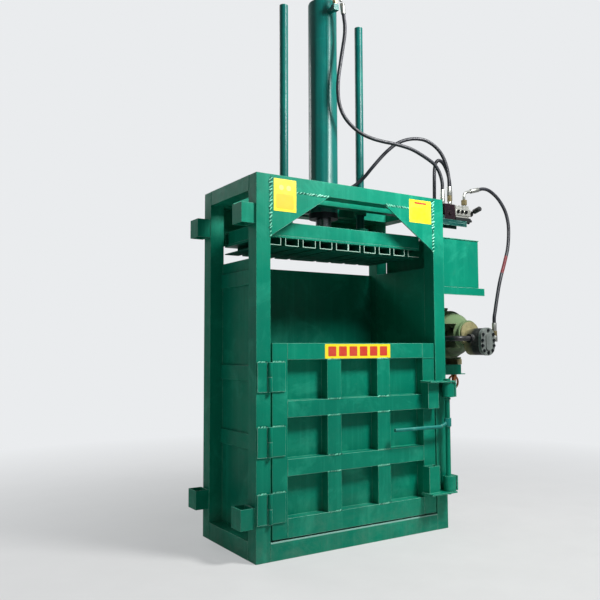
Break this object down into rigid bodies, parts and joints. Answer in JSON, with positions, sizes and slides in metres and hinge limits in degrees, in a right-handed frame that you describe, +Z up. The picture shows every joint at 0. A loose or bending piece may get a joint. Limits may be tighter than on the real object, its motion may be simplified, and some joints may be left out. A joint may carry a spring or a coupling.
{
  "type": "recycling baler",
  "caption": "Vertical hydraulic recycling baler: welded tube frame, tall ram with guide rods, ribbed front door with a cam lock, and a side-mounted oil tank, motor and pump.",
  "frame": {"origin": "on the floor at the middle of the frame's plan", "axes": "+Z up along the ram, +X to the power unit's side, -Y to the door"},
  "size_m": [2.1049, 0.8521, 3.388],
  "materials": {
    "green_paint": "gloss",
    "khaki_paint": "satin",
    "pump_grey": "satin",
    "maroon_paint": "satin",
    "zinc_steel": "satin",
    "chrome_rod": "polished",
    "valve_silver": "satin",
    "brass": "satin",
    "black_plastic": "matt",
    "hose_rubber": "satin"
  },
  "bodies": {
    "frame": {"posts_front": "green_paint", "posts_rear": "green_paint", "top_beams": "green_paint", "base_beams": "green_paint", "gussets": "green_paint", "lifting_sockets": "green_paint", "side_walls": "green_paint", "wall_rear": "green_paint", "wall_ribs": "green_paint", "chamber_floor": "green_paint", "floor_channels": "green_paint", "crown_beams": "green_paint", "crown_plate": "green_paint", "guide_sleeves": "green_paint", "cylinder_barrel": "green_paint", "cylinder_gland": "zinc_steel", "cylinder_bolts": "zinc_steel", "hinge_post_leaves": "green_paint", "lock_keepers": "green_paint", "tank": "green_paint", "tank_lid": "green_paint", "filler_cap": "zinc_steel", "tank_shelf": "green_paint", "motor_bracket": "green_paint", "motor_rails": "pump_grey", "motor_body": "khaki_paint", "fan_cowl": "khaki_paint", "terminal_box": "khaki_paint", "bell_housing": "khaki_paint", "pump_body": "pump_grey", "pump_cover": "pump_grey", "pump_bolts": "zinc_steel", "valve_shelf": "green_paint", "valve_block": "maroon_paint", "valve_body": "valve_silver", "valve_end_cap": "black_plastic", "steel_fittings": "zinc_steel", "brass_fittings": "brass", "suction_pipe": "pump_grey", "drain_cock": "brass", "hose_top_port": "hose_rubber", "hose_low_port": "hose_rubber", "hose_return": "hose_rubber", "hose_pressure": "hose_rubber"},
    "ram": {"piston_rod": "chrome_rod", "guide_rods": "green_paint", "platen_plate": "green_paint", "platen_beams": "green_paint", "platen_webs": "green_paint", "platen_channels": "green_paint", "platen_bosses": "green_paint"},
    "door": {"door_skin": "green_paint", "door_stiles": "green_paint", "door_rails": "green_paint", "door_hinge_leaves": "green_paint", "lock_brackets": "green_paint"},
    "lock": {"lock_shaft": "green_paint", "lock_handle": "green_paint"},
    "drive": {"motor_shaft": "zinc_steel"},
    "lever": {"valve_lever": "black_plastic"}
  },
  "joints": [
    {"name": "ram_slide", "type": "slide", "parent": "frame", "child": "ram", "axis": [0, 0, 1], "range_m": [-1, 0]},
    {"name": "door_hinge", "type": "hinge", "parent": "frame", "child": "door", "pos_m": [-0.613, -0.347, 0.6], "axis": [0, 0, -1], "range_deg": [0, 150]},
    {"name": "lock_turn", "type": "hinge", "parent": "door", "child": "lock", "pos_m": [0.645, -0.395, 0.6], "axis": [0, 0, 1], "range_deg": [0, 100]},
    {"name": "drive_spin", "type": "hinge", "parent": "frame", "child": "drive", "pos_m": [0.927, -0.135, 1.225], "axis": [0, 1, 0], "continuous": true},
    {"name": "valve_lever", "type": "hinge", "parent": "frame", "child": "lever", "pos_m": [1.004, -0.265, 2.05], "axis": [1, 0, 0], "range_deg": [-20, 20]}
  ]
}
